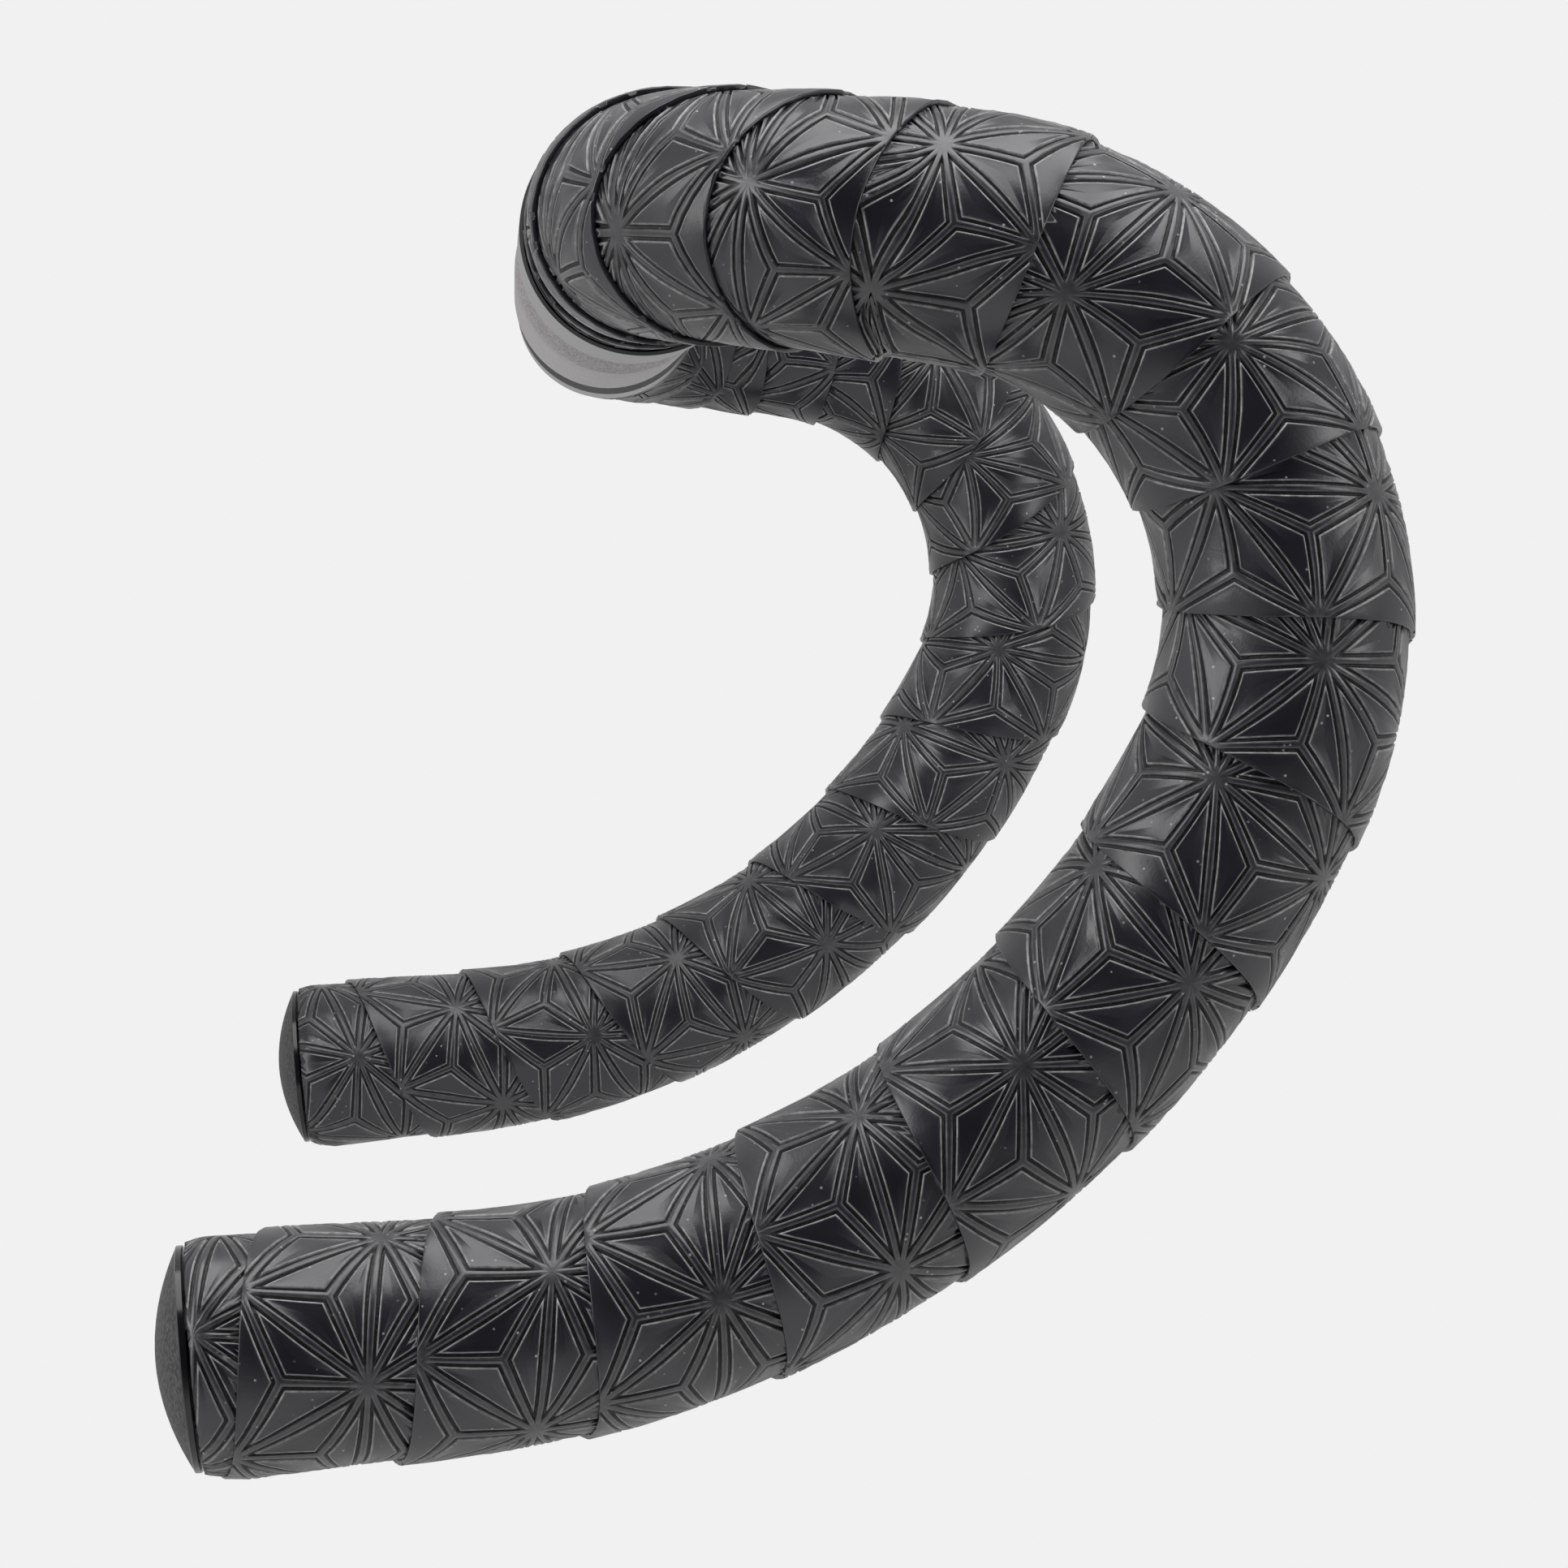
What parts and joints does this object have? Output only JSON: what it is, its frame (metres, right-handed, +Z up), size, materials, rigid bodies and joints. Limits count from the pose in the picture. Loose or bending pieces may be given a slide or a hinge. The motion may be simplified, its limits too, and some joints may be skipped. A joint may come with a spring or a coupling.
{
  "type": "taped drop handlebar",
  "caption": "Drop handlebar with a thick middle, each hook wound in overlapping star-embossed tape, a holding band at each tape end and a domed plug in each bar end.",
  "frame": {"origin": "centre of the bar's thick middle, where a stem clamps it", "axes": "+X forward, +Y to the rider's left along the clamped middle, +Z up"},
  "size_m": [0.1489, 0.4436, 0.185],
  "materials": {
    "bar": "satin grey with a fine grit on the clamped middle",
    "tape": "satin black, embossed",
    "band": "smooth satin",
    "plug": "fine sand texture with a glossy rim"
  },
  "bodies": {
    "root": {"handlebar": "bar", "tape_right": "tape", "tape_left": "tape", "finishing_tape_right": "band", "finishing_tape_left": "band", "end_plug_right": "plug", "end_plug_left": "plug"}
  },
  "joints": []
}
